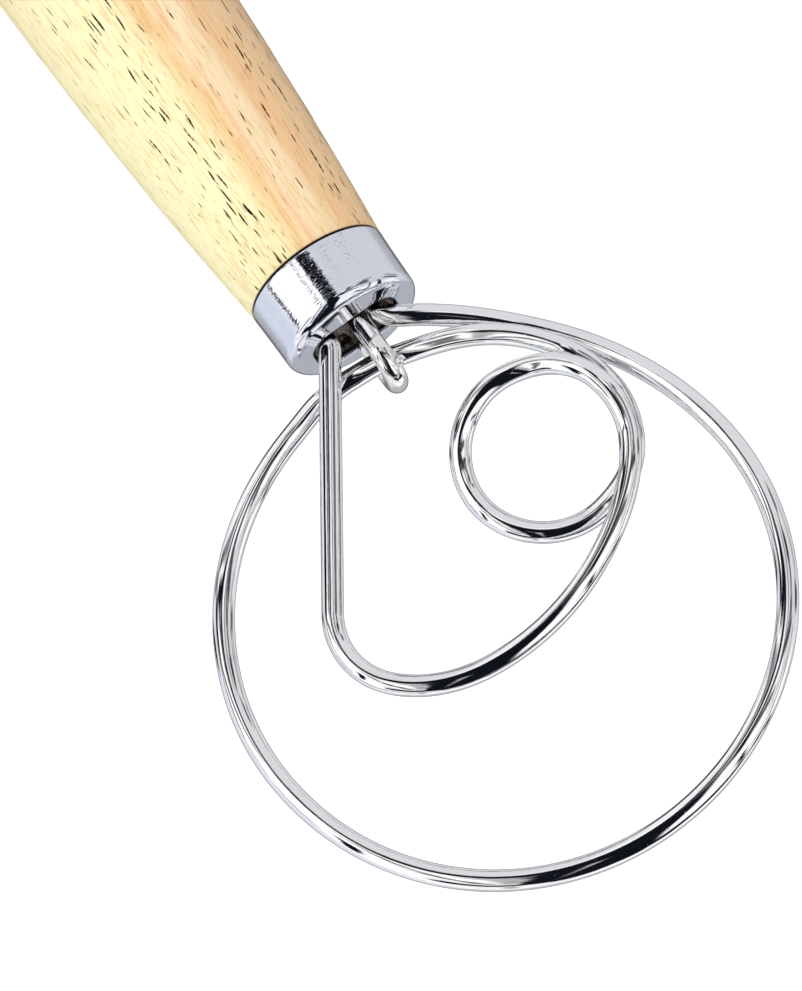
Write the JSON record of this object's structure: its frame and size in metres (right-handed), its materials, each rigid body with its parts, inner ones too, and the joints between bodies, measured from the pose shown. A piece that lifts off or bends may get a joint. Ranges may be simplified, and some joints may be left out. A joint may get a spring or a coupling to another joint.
{
  "type": "dough whisk",
  "caption": "Hand whisk for stiff dough: turned wooden handle, steel ferrule and one bright wire bent into a wide outer ring, a small inner ring and a D-shaped loop.",
  "frame": {"origin": "centre of the small flat on the butt of the handle", "axes": "+Z along the handle towards the wire head; the wire loops lie close to the XZ plane; -Y is the side where the D-shaped loop crosses in front"},
  "size_m": [0.0899, 0.0318, 0.3317],
  "materials": {
    "pale_wood": "satin, fine brown pores",
    "polished_steel": "polished, mirror-like",
    "bright_wire": "bright drawn and polished wire",
    "bright_staple": "bright drawn and polished wire",
    "potting_resin": "glossy dark brown"
  },
  "bodies": {
    "root": {"handle": "pale_wood", "ferrule": "polished_steel", "whisk_wire": "bright_wire", "retaining_staple": "bright_staple", "potting": "potting_resin"}
  },
  "joints": []
}
